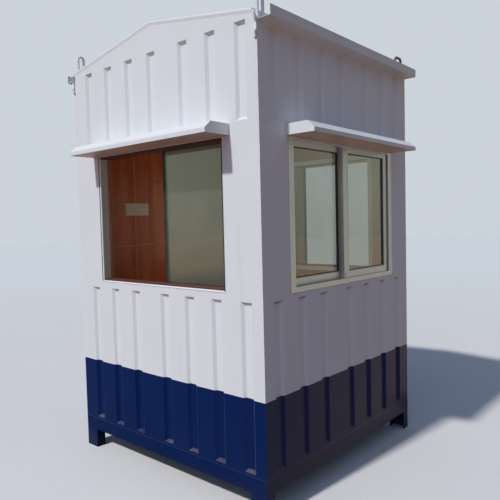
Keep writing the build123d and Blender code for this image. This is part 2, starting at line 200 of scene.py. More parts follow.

# %% [markdown]
# The shell was sprayed white, then masked at a little over half a metre and sprayed
# navy below. One finish paints both, by the height above the ground, so the line runs
# level round all four walls; a slow noise lifts it by a few millimetres, as tape would.
# Thin sheet waves between its folds, so there is a wide, low bump for that and a fine
# one for the orange peel of the enamel. Dust lies on what looks up, and near the
# ground; on the navy it lies thicker, and there it is partly painted highlight for the
# light that level faces catch. The sloping heads of the side walls' grooves look down
# and sideways, and a mask of those faces darkens them, less above 1.6 m: painted shade.
# On the visors the faces that look down are darker and warmer: painted shade, warmed as
# if by light thrown up from the ground.

# %% Enamel
NAVY_LINE = 0.576
WHITE = (0.79, 0.812, 0.83)
NAVY = (0.0012, 0.0135, 0.078)
DUST = (0.36, 0.295, 0.225)


def enamel(name, line=None, sag=1.0, under=None):
    """Sprayed enamel: white above the line and navy below it, or all white."""
    paint = Finish(name, ior=1.23, specular_tint=(1.0, 0.84, 0.82))
    height = paint.part(paint.place, "Z")
    cloud = paint.noise(2.3, 4.0, 0.6)
    speck = paint.noise(55.0, 5.0, 0.65)
    streak = paint.noise((38, 38, 1.1), 4.0, 0.6)

    above, base = 1.0, paint.mix(cloud, WHITE, shade(WHITE, 0.965))
    if line:
        taped = height + paint.noise(9.0) * 0.004
        above = paint.ramp(taped, line, line + 0.0025)
        base = paint.mix(above, paint.mix(cloud, NAVY, shade(NAVY, 1.25)), base)

    tilt, aside = paint.facing("Z"), paint.maths("ABSOLUTE", paint.facing("X"))
    level = paint.ramp(tilt, 0.35, 0.95)
    low_down = paint.ramp(height, 0.75, 0.05)
    # Dust on faces that look up; thicker on the navy, where it is also painted highlight on lit level faces.
    settled_dust_and_sheen = level * paint.ramp(speck + cloud, 0.62, 1.25) * (0.40 - 0.24 * above)
    splashed = low_down * low_down * paint.ramp(speck * cloud, 0.18, 0.44) * (0.02 + 0.10 * above)
    film = (paint.ramp(streak, 0.50, 0.85) * 0.075 + 0.012) * (0.10 + 0.90 * above)
    dust = paint.maths("ADD", settled_dust_and_sheen + splashed, film, clamp=True)
    dusty = paint.mix(dust, base, DUST)

    scuffs = paint.ramp(paint.noise(26.0, 6.0, 0.75), 0.735, 0.76)
    marked = paint.mix(scuffs * 0.45, dusty, (0.16, 0.13, 0.12))
    # Painted shade: darker on the grooves' heads that look down and sideways, less above 1.6 m.
    head = paint.ramp(tilt, -0.5, -0.6) * paint.ramp(tilt, -0.9, -0.8) * paint.ramp(aside, 0.5, 0.6)
    head = head * (1.0 - 0.60 * paint.ramp(height, 1.6, 1.7))
    marked = paint.mix(head, marked, (0.54, 0.50, 0.50), "MULTIPLY")
    # Painted shade on the faces that look down: darker and warmer, for the visors' undersides.
    if under:
        marked = paint.mix(paint.ramp(tilt, -0.3, -0.5), marked, under, "MULTIPLY")

    rough = 0.16 + 0.20 * above + speck * 0.07 + dust * 0.5
    canning = paint.bump(paint.noise(3.2, 1.0, 0.3), 0.0035 * sag)
    peel = paint.bump(paint.noise(420.0, 2.0), 0.00012, canning)
    paint.feed(base_color=marked, roughness=rough, normal=peel)
    return paint.material


finishes = {
    "wall_paint": enamel("shell_enamel", NAVY_LINE),
    "white_enamel": enamel("white_enamel", sag=0.4),
    # under: painted shade, darker and warmer, on the visors' faces that look down.
    "visor_paint": enamel("visor_enamel", sag=0.4, under=(0.76, 0.55, 0.50)),
    "door_paint": enamel("door_enamel", sag=0.8),
}
print("enamels", sorted(finishes))

# %% [markdown]
# The base frame is rolled channel, brushed with the same navy. It stands low and
# carries more dust: on the flanges, by the ground, and as a thin dry film all over. The
# primer inside the walls is matt red oxide. The bare lifting bars at the rear were left
# to rust, and caught spatters of the white at their feet.

# %% Navy, primer and rust
# Brushed navy on rolled channel, dusty and chipped.
paint = Finish("navy_steel", ior=1.23, specular_tint=(1.0, 0.84, 0.82))
height = paint.part(paint.place, "Z")
cloud = paint.noise(7.0, 5.0, 0.65)
speck = paint.noise(90.0, 5.0, 0.7)
base = paint.mix(cloud, shade(NAVY, 0.85), shade(NAVY, 1.15))
level = paint.ramp(paint.facing("Z"), 0.3, 0.9) * 0.55
low_down = paint.ramp(height, 0.13, 0.0) * paint.ramp(speck + cloud, 0.75, 1.3) * 0.14
film = paint.ramp(cloud * speck, 0.22, 0.46) * 0.009
dust = paint.maths("ADD", level + low_down, film, clamp=True)
chips = paint.ramp(paint.noise(34.0, 6.0, 0.8), 0.70, 0.72)
colour = paint.mix(dust, base, DUST)
colour = paint.mix(chips * 0.8, colour, (0.10, 0.035, 0.018))
brush = paint.noise((14, 14, 260), 3.0, 0.6)
normal = paint.bump(brush, 0.00035, paint.bump(cloud, 0.0008))
paint.feed(base_color=colour, roughness=0.24 + dust * 0.5 + chips * 0.2, normal=normal)
finishes["base_paint"] = paint.material

# Matt red oxide.
paint = Finish("red_oxide", ior=1.45)
cloud = paint.noise(6.0, 5.0, 0.6)
speck = paint.noise(140.0, 4.0, 0.7)
base = paint.mix(cloud, (0.21, 0.045, 0.028), (0.30, 0.085, 0.05))
dust = paint.ramp(paint.facing("Z"), 0.2, 0.9) * 0.5 + speck * 0.10
colour = paint.mix(dust, base, DUST)
normal = paint.bump(speck, 0.0003, paint.bump(cloud, 0.001))
paint.feed(base_color=colour, roughness=0.62 + speck * 0.2, normal=normal)
finishes["frame_primer"] = paint.material

# Bare round bar: mill scale, rust, and spatters of the white below the eye.
steel = Finish("bare_bar")
patch = steel.noise(42.0, 6.0, 0.7)
grain = steel.noise(260.0, 4.0, 0.7)
rust = steel.ramp(patch + grain * 0.3, 0.50, 0.74)
scale = steel.mix(grain, (0.055, 0.045, 0.045), (0.12, 0.095, 0.085))
red = steel.mix(grain, (0.15, 0.05, 0.022), (0.30, 0.115, 0.045))
height = steel.part(steel.place, "Z")
spatter = steel.ramp(steel.noise(75.0, 4.0, 0.7) - (height - 2.40) * 1.6, 0.52, 0.58)
colour = steel.mix(spatter, steel.mix(rust, scale, red), WHITE)
bare = (1 - rust) * (1 - spatter)
normal = steel.bump(patch, 0.0008, steel.bump(grain, 0.0002))
steel.feed(base_color=colour, roughness=0.55 + rust * 0.3, metallic=bare * 0.6, normal=normal)
finishes["bare_steel"] = steel.material
print("steel finishes made, in all", len(finishes))

# %% [markdown]
# Inside, the walls are lined with a printed laminate, still under the maker's clear
# film. Noise drawn out along the height gives the print its grain, and broad soft bands
# the joined boards. The film is the gloss: it wrinkles, so it has its own bump and a
# low roughness. The ceiling has the same sheet laid the other way, and the floor is
# vinyl, walked on with dusty shoes.

# %% Linings


def laminate(name, grain_scale, pale, dark, rough):
    """Printed wood under a wrinkled clear film; grain_scale draws the grain out."""
    board = Finish(name, ior=1.5)
    grain = board.noise(grain_scale, 8.0, 0.62)
    band = board.noise(shade(grain_scale, 0.13), 2.0, 0.4)
    fibre = board.noise(shade(grain_scale, 6), 4.0, 0.7)
    wood = board.mix(board.ramp(grain * 0.7 + band * 0.5, 0.38, 0.82), dark, pale)
    wood = board.mix(board.ramp(fibre, 0.55, 0.75) * 0.35, wood, shade(dark, 0.45))
    dust = board.ramp(board.noise(11.0, 5.0, 0.7), 0.55, 0.8) * 0.10
    colour = board.mix(dust, wood, DUST)
    wrinkle = board.noise((22, 22, 2.6), 3.0, 0.55)
    blister = board.noise(16.0, 2.0, 0.4)
    normal = board.bump(wrinkle, 0.0025, board.bump(blister, 0.0012))
    gloss = rough + dust * 1.5 + blister * 0.08
    board.feed(base_color=colour, roughness=gloss, coat_weight=0.25, normal=normal)
    return board.material


# Flecked floor vinyl under walked-in dust.
vinyl = Finish("floor_vinyl", ior=1.5)
fleck = vinyl.node("ShaderNodeTexVoronoi", inputs={"Vector": vinyl.place, "Scale": 260.0}, output="Color")
cloud = vinyl.noise(5.0, 5.0, 0.65)
base = vinyl.mix(vinyl.part(fleck, "X"), (0.17, 0.145, 0.125), (0.27, 0.235, 0.20))
dust = vinyl.ramp(cloud, 0.38, 0.72) * 0.55
colour = vinyl.mix(dust, base, DUST)
normal = vinyl.bump(vinyl.noise(60.0), 0.0003, vinyl.bump(cloud, 0.001))
vinyl.feed(base_color=colour, roughness=0.42 + dust * 0.45, normal=normal)
finishes["floor_vinyl"] = vinyl.material

finishes["wall_laminate"] = laminate(
    "wall_laminate", (9, 9, 0.55), (0.42, 0.120, 0.042), (0.20, 0.048, 0.020), 0.22,
)
finishes["ceiling_laminate"] = laminate(
    "ceiling_laminate", (0.5, 8, 8), (0.40, 0.22, 0.15), (0.24, 0.12, 0.08), 0.28,
)
print("lining finishes made, in all", len(finishes))

# %% [markdown]
# The side window is champagne anodised section. Anodising keeps the fine lines of the
# extrusion, so a noise drawn out along the height feeds both the colour and the
# roughness, and a second, level one the bump. The front tracks are mill finish: greyer,
# more scratched, with dust in the slots. The door's handle, in satin steel, comes from
# the same function.

# %% Aluminium and steel


def aluminium(name, colour, rough, scratch=0.0, metallic=0.75):
    """Drawn or brushed metal, with dust on its level faces and slanting scratches."""
    metal = Finish(name)
    lines = metal.noise((520, 520, 6), 3.0, 0.6)
    cross = metal.noise((8, 8, 520), 3.0, 0.6)
    cloud = metal.noise(14.0, 5.0, 0.65)
    tone = metal.mix(lines * 0.5 + cloud * 0.5, shade(colour, 0.82), colour)
    level = metal.ramp(metal.facing("Z"), 0.3, 0.9)
    dust = level * metal.ramp(cloud, 0.25, 0.6) * 0.75 + metal.ramp(cloud, 0.55, 0.8) * 0.12
    slant = metal.noise((30, 30, 90), 6.0, 0.8, (0.4, 0.5, 0.6))
    marked = metal.mix(metal.ramp(slant, 0.66, 0.70) * scratch, tone, (0.75, 0.74, 0.72))
    normal = metal.bump(lines + cross, 0.00006, metal.bump(cloud, 0.0003))
    metal.feed(
        base_color=metal.mix(dust, marked, DUST),
        roughness=rough + lines * 0.08 + dust * 0.4,
        metallic=(1 - dust) * metallic,
        normal=normal,
    )
    return metal.material


finishes["window_aluminium"] = aluminium("champagne_aluminium", (0.56, 0.59, 0.61), 0.34)
finishes["track_aluminium"] = aluminium("mill_aluminium", (0.60, 0.60, 0.59), 0.30, 0.35, 0.85)
finishes["handle_steel"] = aluminium("satin_steel", (0.60, 0.60, 0.61), 0.24, 0.2, 0.95)
print("metal finishes made, in all", len(finishes))

# %% [markdown]
# Float glass lets nearly all light through, mirrors more as it is seen more from the
# side, and looks green only at a cut edge. So each pane mixes a faintly green
# Transparent shader with a mirror by the Fresnel curve. Dust and wiped smears are a
# thin pale film: the mixed shader turns from mirror to matt where it is. At the cut
# edges, told by the normal, it is dense green. A look through a pane also passes a back
# face, where the Fresnel node turns the index over and finds a full mirror at a slant.
# Turning it over beforehand cancels that.

# %% Glass
GLASS_INDEX = 1.52


def glass(name, axis, haze, mirror, tint):
    """A pane that looks along an axis: haze is its film, mirror how strongly it reflects."""
    pane = Finish(name)
    height = pane.part(pane.place, "Z")
    face = pane.maths("ABSOLUTE", pane.facing(axis)) > 0.5
    behind = pane.node("ShaderNodeNewGeometry", output="Backfacing")
    index = GLASS_INDEX - behind * (GLASS_INDEX - 1 / GLASS_INDEX)
    curve = pane.node("ShaderNodeFresnel", inputs={"IOR": index}) * (1.7 * mirror)
    cloud = pane.noise(3.0, 5.0, 0.6)
    wiped = pane.noise((9, 9, 3.5), 4.0, 0.6, (0.5, 0.3, 0.2))
    speck = pane.ramp(pane.noise(120.0, 4.0, 0.75), 0.62, 0.70)
    film = pane.ramp(cloud * 0.7 + wiped * 0.35, 0.30, 0.80) * haze + speck * haze * 0.12 + haze * 0.3
    # Thinner towards the foot, so the pane is darker low down: painted dark reflection.
    film = film * (0.35 + 0.65 * pane.ramp(height, 1.10, 1.42))
    whole = pane.maths("ADD", curve, film, clamp=True)
    share = pane.maths("DIVIDE", curve, whole + 0.0001, clamp=True)
    # The mirror's tint, blue-white high up and warm low down: painted reflection of sky and ground.
    sky = pane.mix(pane.ramp(height, 1.22, 1.72), (0.80, 0.78, 0.70), (0.97, 1.0, 1.0))
    dust_and_painted_reflection = pane.mix(share, (0.52, 0.48, 0.37), sky)
    edge = pane.mix(cloud, (0.020, 0.050, 0.040), (0.045, 0.095, 0.075))
    pane.feed(
        base_color=pane.mix(face, edge, dust_and_painted_reflection),
        metallic=share * face,
        roughness=(1 - face) * 0.15 + film * 0.4 + 0.01,
    )
    clear = pane.node("ShaderNodeBsdfTransparent", inputs={"Color": tint})
    amount = pane.maths("MAXIMUM", whole, (1 - face) * 0.85)
    blend = pane.node("ShaderNodeMixShader", inputs={0: amount, 1: clear})
    pane.tree.links.new(pane.shader.outputs[0], blend.socket.node.inputs[2])
    output = next(node for node in pane.tree.nodes if node.type == "OUTPUT_MATERIAL")
    pane.tree.links.new(blend.socket, output.inputs["Surface"])
    return pane.material


finishes["pane_glass"] = glass("front_glass", "Y", haze=0.08, mirror=1.55, tint=(0.67, 0.68, 0.63))
finishes["side_glass"] = glass("side_glass", "X", haze=0.06, mirror=1.35, tint=(0.64, 0.675, 0.65))
print("glass made, in all", len(finishes))

# %% [markdown]
# The small parts need few finishes of their own: black rubber, zinc-plated screws,
# sealant, bare label paper, brown joint strip. One function does for them all. Each has
# two scales of noise, so none is flat, even close to.

# %% Small finishes


def plain(name, colour, rough, metallic=0.0, scale=40.0, change=0.75, dust=0.15):
    """A finish for a small part: change is how far its darker patches go."""
    part = Finish(name, metallic=metallic, ior=1.5)
    cloud = part.noise(scale * 0.3, 5.0, 0.65)
    speck = part.noise(scale * 4, 4.0, 0.7)
    base = part.mix(cloud, colour, shade(colour, change))
    film = part.ramp(cloud + speck, 0.75, 1.3) * dust + part.ramp(part.facing("Z"), 0.3, 0.9) * dust * 1.5
    normal = part.bump(speck, 0.0003, part.bump(cloud, 0.0009))
    part.feed(base_color=part.mix(film, base, DUST), roughness=rough + speck * 0.12 + film * 0.3, normal=normal)
    return part.material


finishes.update({
    # Black rubber, also used as painted shade in slots, holes and the gap at a jamb.
    "black_rubber_and_shade": plain("black_rubber_and_painted_shade", (0.011, 0.011, 0.012), 0.60, dust=0.03),
    # Painted shade: grey for the left jamb's face, which the sun doesn't reach.
    "jamb_shade": plain("jamb_painted_shade", (0.40, 0.385, 0.38), 0.40, scale=12.0, change=0.88, dust=0.06),
    "brush": plain("track_brush", (0.115, 0.028, 0.020), 0.60, scale=60.0, change=0.6, dust=0.02),
    "sill": plain("sill_paint", (0.84, 0.85, 0.88), 0.28, scale=20.0, change=0.96, dust=0.03),
    # Painted highlight: a paler navy for the glint along the folds.
    "fold_glint": plain("painted_fold_glint", (0.045, 0.085, 0.17), 0.22, scale=30.0, change=0.45, dust=0.03),
    "screw": plain("zinc_screw", (0.55, 0.54, 0.50), 0.30, metallic=0.9, dust=0.12),
    "sealant": plain("sealant", (0.70, 0.70, 0.71), 0.42, dust=0.12, change=0.9),
    "label": plain("label_paper", (0.41, 0.355, 0.29), 0.5, dust=0.12, change=0.9, scale=25),
    "strip": plain("joint_strip", (0.34, 0.135, 0.065), 0.30, dust=0.10),
    "edge": plain("pane_edge", (0.055, 0.080, 0.066), 0.18, dust=0.05, change=0.7),
})
print("small finishes made, in all", len(finishes))

# %% [markdown]
# The record of the part names a material for each node, and the finishes go by the same
# names. A few nodes need their own: the visors, with painted shade on their faces that
# look down, the side window's glass, which looks along another axis, and the white
# pieces without navy.

# %% Finishes on the nodes
slots_of = {row["node"]: row["material_slot"] for row in frame["record"]["subparts"]}
special = {"side_window_glass": "side_glass", "gutters": "white_enamel", "front_lifting_loops": "white_enamel"}
special.update({f"visor_{wall}": "visor_paint" for wall in walls})
special.update({f"{wall}_window_surround": "white_enamel" for wall in ("front", "rear", "right")})
for name, node in frame["nodes"].items():
    chosen = special.get(name, slots_of[name])
    node.data.materials.clear()
    node.data.materials.append(finishes[chosen])
print("finishes", len(finishes), "on nodes", len(frame["nodes"]))

# %% [markdown]
# New pieces share a few ways of being made. A cube does for a block. A flat frame could
# be four blocks, but their ends would cross or gape, so it starts as a grid of one
# face: that is inset, its middle taken out, and the border extruded to the frame's
# thickness.

# %% Blocks and frames


def block(bm, low, high, matrix):
    """A block between two corners, in the matrix's coordinates."""
    low, high = Vector(low), Vector(high)
    place = Matrix.Translation((low + high) / 2) @ Matrix.Diagonal((*(high - low), 1))
    bmesh.ops.create_cube(bm, size=1, matrix=matrix @ place)


def ring(bm, low, high, face, matrix, back, front):
    """A rectangular frame, face wide, that reaches from back to front on a wall."""
    middle = ((low[0] + high[0]) / 2, (low[1] + high[1]) / 2, back)
    place = Matrix.Translation(middle) @ Matrix.Diagonal((high[0] - low[0], high[1] - low[1], 1, 1))
    made = bmesh.ops.create_grid(bm, x_segments=1, y_segments=1, size=0.5, matrix=place)
    panel = made["verts"][0].link_faces[0]
    border = bmesh.ops.inset_individual(bm, faces=[panel], thickness=face, use_even_offset=True)["faces"]
    bmesh.ops.delete(bm, geom=[panel], context="FACES_ONLY")
    raised = bmesh.ops.extrude_face_region(bm, geom=border, use_keep_orig=True)["geom"]
    corners = [item for item in raised if isinstance(item, bmesh.types.BMVert)]
    bmesh.ops.translate(bm, verts=corners, vec=(0, 0, front - back))
    whole = set(corners).union(*(item.verts for item in border))
    bmesh.ops.transform(bm, matrix=matrix, verts=list(whole))


print("blocks and frames ready")

# %% [markdown]
# A screw head, a hole or a lock is a turned part: half its outline is spun once round
# an axis. Where the outline touches the axis the spin leaves many copies of one point,
# so those are merged before the part is put in its place.

# %% Turned parts


def turned_part(bm, outline, place, steps=14):
    """A turned part: a chain of (radius, height) points, spun round the place's Z."""
    before = set(bm.verts)
    points = [bm.verts.new((radius, 0, height)) for radius, height in outline]
    chain = [bm.edges.new(pair) for pair in zip(points, points[1:])]
    bmesh.ops.spin(
        bm, geom=points + chain, axis=(0, 0, 1), cent=(0, 0, 0), angle=math.tau, steps=steps, use_merge=True,
    )
    bmesh.ops.remove_doubles(bm, verts=[vert for vert in bm.verts if vert not in before], dist=1e-6)
    bmesh.ops.transform(bm, matrix=place, verts=[vert for vert in bm.verts if vert not in before])


print("turned parts ready")

# %% [markdown]
# Sealant and welds are beads: round in section, laid along a line, and never even. A
# curve with a bevel would do, but its radius is harder to vary. A disc that is extruded
# from point to point gives a bead closed at both ends, and each step can have its own
# radius.

# %% Beads


def bead(bm, points, radius, matrix=None, sides=6):
    """A round bead through points; radius is one number, or one for each point."""
    points = [(matrix or Matrix()) @ Vector(point) for point in points]
    sizes = radius if isinstance(radius, list) else [radius] * len(points)
    turned = (points[1] - points[0]).to_track_quat("Z", "Y")
    disc, last = None, None
    for index, point in enumerate(points):
        along = points[min(index + 1, len(points) - 1)] - points[max(index - 1, 0)]
        turned = (turned @ Vector((0, 0, 1))).rotation_difference(along) @ turned
        place = Matrix.LocRotScale(point, turned, Vector((sizes[index],) * 3))
        if disc is None:
            rim = bmesh.ops.create_circle(bm, cap_ends=True, segments=sides, radius=1, matrix=place)["verts"]
            disc = rim[0].link_faces[0]
        else:
            made = bmesh.ops.extrude_face_region(bm, geom=[disc], use_keep_orig=index == 1)["geom"]
            rim = [item for item in made if isinstance(item, bmesh.types.BMVert)]
            disc = next(item for item in made if isinstance(item, bmesh.types.BMFace))
            bmesh.ops.transform(bm, matrix=place @ last.inverted(), verts=rim)
        last = place


print("beads ready")

# %% [markdown]
# One function ends each piece. It rounds the edges, because a real edge is never quite
# sharp and catches the light, turns the normals outwards, gives the piece its finish
# and hangs it on the booth's one body, the root.


def added(name, data):
    """A new object in the scene."""
    made = bpy.data.objects.new(name, data)
    bpy.context.scene.collection.objects.link(made)
    return made


def as_object(bm, name, material):
    """A finished mesh as an object in the scene, with its material."""
    mesh = bpy.data.meshes.new(name)
    bm.to_mesh(mesh)
    bm.free()
    mesh.materials.append(material)
    return added(name, mesh)


def finish_piece(bm, name, finish, bevel=0.0, segments=2, smooth=False):
    """Round the edges, point the normals outwards, and put the piece on the booth."""
    if bevel:
        sharp = [edge for edge in bm.edges if len(edge.link_faces) == 2 and edge.calc_face_angle(0) > 0.5]
        bmesh.ops.bevel(
            bm, geom=sharp, offset=bevel, segments=segments, profile=0.5, affect="EDGES", material=-1,
            clamp_overlap=True,
        )
    bmesh.ops.recalc_face_normals(bm, faces=bm.faces)
    piece = as_object(bm, name, finishes[finish])
    for face in piece.data.polygons:
        face.use_smooth = smooth
    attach(piece, "root")
    print(name, len(piece.data.polygons), "faces")


print("finishing ready")

# %% [markdown]
# The side window's frame was pushed into the hole and screwed through its flange: three
# screws above, three below and three down each side. Each low round head is turned from
# its outline. Its cross slot is two crossed blocks sunk in the head, in black: painted
# shade for the dark of the slot; cutting real slots would need a boolean, for marks a
# fifth of a pixel wide.

# %% Side window: screws
side = walls["right"]
flange_low, flange_high = on_wall("side_window_frame", "right")
FOOT_LINE, HEAD_LINE, JAMB_LINE = 0.013, 0.006, 0.019
random.seed(4)


def screw(heads, slot_shades, matrix, place, radius=0.0042, rise=0.0016):
    """One screw head at a place on a wall, with its cross slot turned at random."""
    middle = matrix @ Matrix.Translation(place) @ Matrix.Rotation(random.uniform(0, math.pi), 4, "Z")
    outline = [(0, rise), (radius * 0.55, rise * 0.93), (radius * 0.9, rise * 0.55), (radius, 0), (radius, -0.002)]
    turned_part(heads, outline, middle)
    # The slot is two black blocks: painted shade for the dark of the recess.
    reach, wide = radius * 0.55, radius * 0.12
    for turn in (0, math.pi / 2):
        arm = middle @ Matrix.Rotation(turn, 4, "Z")
        block(slot_shades, (-reach, -wide, rise * 0.3), (reach, wide, rise + 0.0001), arm)


heads, slot_shades = bmesh.new(), bmesh.new()
for share in (0.115, 0.5, 0.885):
    u = flange_low.x + share * (flange_high.x - flange_low.x)
    screw(heads, slot_shades, side, (u, flange_low.y + FOOT_LINE, flange_high.z))
    screw(heads, slot_shades, side, (u, flange_high.y - HEAD_LINE, flange_high.z), radius=0.0036)
for share in (0.14, 0.5, 0.86):
    v = flange_low.y + share * (flange_high.y - flange_low.y)
    screw(heads, slot_shades, side, (flange_low.x + JAMB_LINE, v, flange_high.z))
    screw(heads, slot_shades, side, (flange_high.x - JAMB_LINE, v, flange_high.z))
finish_piece(heads, "side_window_screws", "screw", smooth=True)
finish_piece(slot_shades, "side_window_slot_shades", "black_rubber_and_shade")

# %% [markdown]
# A thin line of sealant was run round the flange by hand, so no two places of it are
# alike. One bead goes along each edge, and at each of its sixty steps it rises, sinks,
# swells or thins by up to half a millimetre.

# %% Side window: sealant
line = bmesh.new()
STEPS, CLEAR, UNDER_HEAD = 60, 0.0015, 0.001
left, right = flange_low.x - CLEAR, flange_high.x + CLEAR
foot, head = flange_low.y - CLEAR, flange_high.y - UNDER_HEAD
corners = [(left, foot), (right, foot), (right, head), (left, head)]
for first, second in zip(corners, corners[1:] + corners[:1]):
    run, sizes = [], []
    for step in range(STEPS + 1):
        u, v = Vector(first).lerp(Vector(second), step / STEPS)
        run.append((u, v, random.uniform(-0.0004, 0.0004)))
        sizes.append(0.0026 + random.uniform(-0.0005, 0.0005))
    bead(line, run, sizes, side, sides=8)
finish_piece(line, "side_window_sealant", "sealant", smooth=True)

# %% [markdown]
# Each pane is held in its sash by a black rubber gasket. From outside it shows as a
# thin black line at the left, top and foot of the glass, and as a broader one at its
# right, where the eye looks past the near stile onto the depth of the rebate. One frame
# before the glass, one behind it, and a strip down the right give all of this.

# %% Side window: gaskets
near_low, near_high = on_wall("side_sash_near", "right")
far_low, far_high = on_wall("side_sash_far", "right")
STILE, MEETING, FOOT_RAIL, HEAD_RAIL = 0.041, 0.058, 0.040, 0.027
GLASS, LIP, REBATE = 0.005, 0.0045, 0.0042
STRIP_WIDE, STRIP_DEEP = 0.0145, 0.0028


def gaskets(bm, low, high, left, right):
    """The gasket round one pane, from the widths of its sash's two stiles."""
    left, right, foot, head = low.x + left, high.x - right, low.y + FOOT_RAIL, high.y - HEAD_RAIL
    front = (low.z + high.z) / 2 + GLASS / 2
    back = front - GLASS
    ring(bm, (left, foot), (right, head), LIP, side, front, front + REBATE)
    ring(bm, (left, foot), (right, head), LIP, side, back - REBATE, back)
    block(bm, (right - STRIP_WIDE, foot + LIP, front), (right - LIP, head - LIP, front + STRIP_DEEP), side)


rubber = bmesh.new()
gaskets(rubber, near_low, near_high, STILE, MEETING)
gaskets(rubber, far_low, far_high, MEETING, STILE)
finish_piece(rubber, "side_window_gaskets", "black_rubber_and_shade", bevel=0.0009)

# %% [markdown]
# Where the two sashes meet, the stile has a small block at its head and one at its
# foot, each with the hole of its fixing. A block with a rounded edge and a shallow
# turned disc are enough at this size; the disc is black, painted shade for the hole.

# %% Side window: meeting stile
blocks, hole_shades = bmesh.new(), bmesh.new()
stile = far_low.x
for v in (far_high.y - 0.014, far_low.y + 0.020):
    block(blocks, (stile + 0.004, v - 0.011, far_high.z), (stile + 0.034, v + 0.011, far_high.z + 0.0035), side)
    place = side @ Matrix.Translation((stile + 0.019, v, far_high.z + 0.0036))
    turned_part(hole_shades, [(0, 0), (0.0042, 0), (0.0042, -0.001)], place)
finish_piece(blocks, "meeting_stile_blocks", "window_aluminium", bevel=0.0012)
finish_piece(hole_shades, "meeting_stile_hole_shades", "black_rubber_and_shade")

# %% [markdown]
# An extruded sash isn't a plain bar: along its outer face run two thin grooves. They
# are made here as raised ribs instead, which catch the light the same way and need no
# cut: one thin frame beside the glass and one near the outer edge.

# %% Side window: ribs
ribs = bmesh.new()
for low, high, left, right in ((near_low, near_high, STILE, MEETING), (far_low, far_high, MEETING, STILE)):
    inner_low = (low.x + left - 0.005, low.y + FOOT_RAIL - 0.005)
    inner_high = (high.x - right + 0.005, high.y - HEAD_RAIL + 0.005)
    ring(ribs, inner_low, inner_high, 0.003, side, high.z, high.z + 0.0012)
    outer_low, outer_high = (low.x + 0.003, low.y + 0.003), (high.x - 0.003, high.y - 0.003)
    ring(ribs, outer_low, outer_high, 0.002, side, high.z, high.z + 0.0010)
finish_piece(ribs, "sash_ribs", "window_aluminium", bevel=0.0004, segments=1)

# %% [markdown]
# The wide front window has two frameless panes in one double track, both pushed to the
# right. The front one shows its cut edge: a black rubber strip and beside it the dull
# green of the glass itself. The rear window is the same, turned. Blocks do for these,
# and the bevel rounds the rubber.

# %% Front and rear windows: pane edges
rubber, green = bmesh.new(), bmesh.new()
for wall in ("front", "rear"):
    low, high = on_wall(f"{wall}_window_panes", wall)
    for bm, left, right, back, front in (
        (rubber, -0.0030, 0.0140, high.z - 0.0062, high.z + 0.0012),
        (green, 0.0140, 0.0185, high.z, high.z + 0.0007),
        (rubber, 0.0065, 0.0120, low.z - 0.0008, low.z + 0.0058),
    ):
        block(bm, (low.x + left, low.y, back), (low.x + right, high.y, front), walls[wall])
finish_piece(rubber, "pane_edge_rubber", "black_rubber_and_shade", bevel=0.0008)
finish_piece(green, "pane_cut_edges", "edge")

# %% [markdown]
# A thin sheet that is folded along its length, such as a sill, is a grid: each column
# is a place along the strip, and its rows are laid on the section one by one. The sills
# and the folds along the gables both come from this one helper.

# %% Folded strips


def folded(bm, columns, section, place):
    """A folded strip: place gives the point for a place along it and a point of the section."""
    made = bmesh.ops.create_grid(bm, x_segments=len(columns) - 1, y_segments=len(section) - 1, size=0.5)
    for vert in made["verts"]:
        column = round((vert.co.x + 0.5) * (len(columns) - 1))
        row = round((vert.co.y + 0.5) * (len(section) - 1))
        vert.co = place(columns[column], section[row])


print("folded strips ready")

# %% [markdown]
# Each wide opening is lined with sheet. At the left jamb its lip stands just clear of
# the wall, and the fine dark line of that gap beside the bright lip is a black strip:
# painted shade. The face of the left jamb, in shade, gets a thin grey sheet: painted
# shade too. At the right black rubber closes the joint. The white sill is folded down
# over the wall, and its fold faces the sun. The room's brown boards show their cut
# edges, and pile brushes close the panes' tracks. The sill could be a bevelled block,
# but a folded strip gives its true thin edge. Blocks do for the straight pieces, and a
# frame for the boards' edges.

# %% Opening liners and sills
SURROUND, WALL, LINED = 0.030, 0.076, 0.0545
SILL = [(-0.0115, 0.0018), (-0.0016, 0.0018), (0.0020, -0.0018), (0.0026, -0.0048), (0.0003, -0.0050)]
lips, gaps, sills, jamb_shade_sheets, bands, brushes = (bmesh.new() for _ in range(6))
for wall in ("front", "rear"):
    matrix = walls[wall]
    low, high = on_wall(f"{wall}_window_surround", wall)
    left, right, foot, head = low.x + SURROUND, high.x - SURROUND, low.y + SURROUND, high.y - SURROUND
    for bm, first, second in (
        # Painted shade: a black strip for the dark line of the gap at the left jamb.
        (gaps, (left - 0.0085, foot, -0.0020), (left + 0.0015, head, 0.0004)),
        (gaps, (right - 0.0070, foot, -0.0100), (right - 0.0005, head, 0.0002)),
        (lips, (left + 0.0015, foot, -0.0040), (left + 0.0110, head, 0.0016)),
        # Painted shade: a thin grey sheet on the left jamb's face.
        (jamb_shade_sheets, (left + 0.0002, foot + 0.002, -LINED), (left + 0.0013, head, -0.0040)),
        (brushes, (left + 0.0014, foot + 0.0002, -WALL), (right - 0.0014, foot + 0.0095, -0.0115)),
        (brushes, (left + 0.0014, head - 0.0095, -WALL), (right - 0.0014, head - 0.0002, -0.0030)),
    ):
        block(bm, first, second, matrix)
    ends = (left + 0.0015, right - 0.0010)
    folded(sills, ends, SILL, lambda u, row: matrix @ Vector((u, foot + row[1], row[0])))
    ring(bands, (left, foot), (right, head), 0.0012, matrix, -WALL, -LINED)
finish_piece(bands, "lining_edges", "strip")
finish_piece(jamb_shade_sheets, "painted_jamb_shade", "jamb_shade")
finish_piece(brushes, "track_brushes", "brush")
finish_piece(gaps, "liner_gaps", "black_rubber_and_shade")
finish_piece(lips, "opening_liners", "white_enamel", bevel=0.0008)
finish_piece(sills, "folded_sills", "sill")

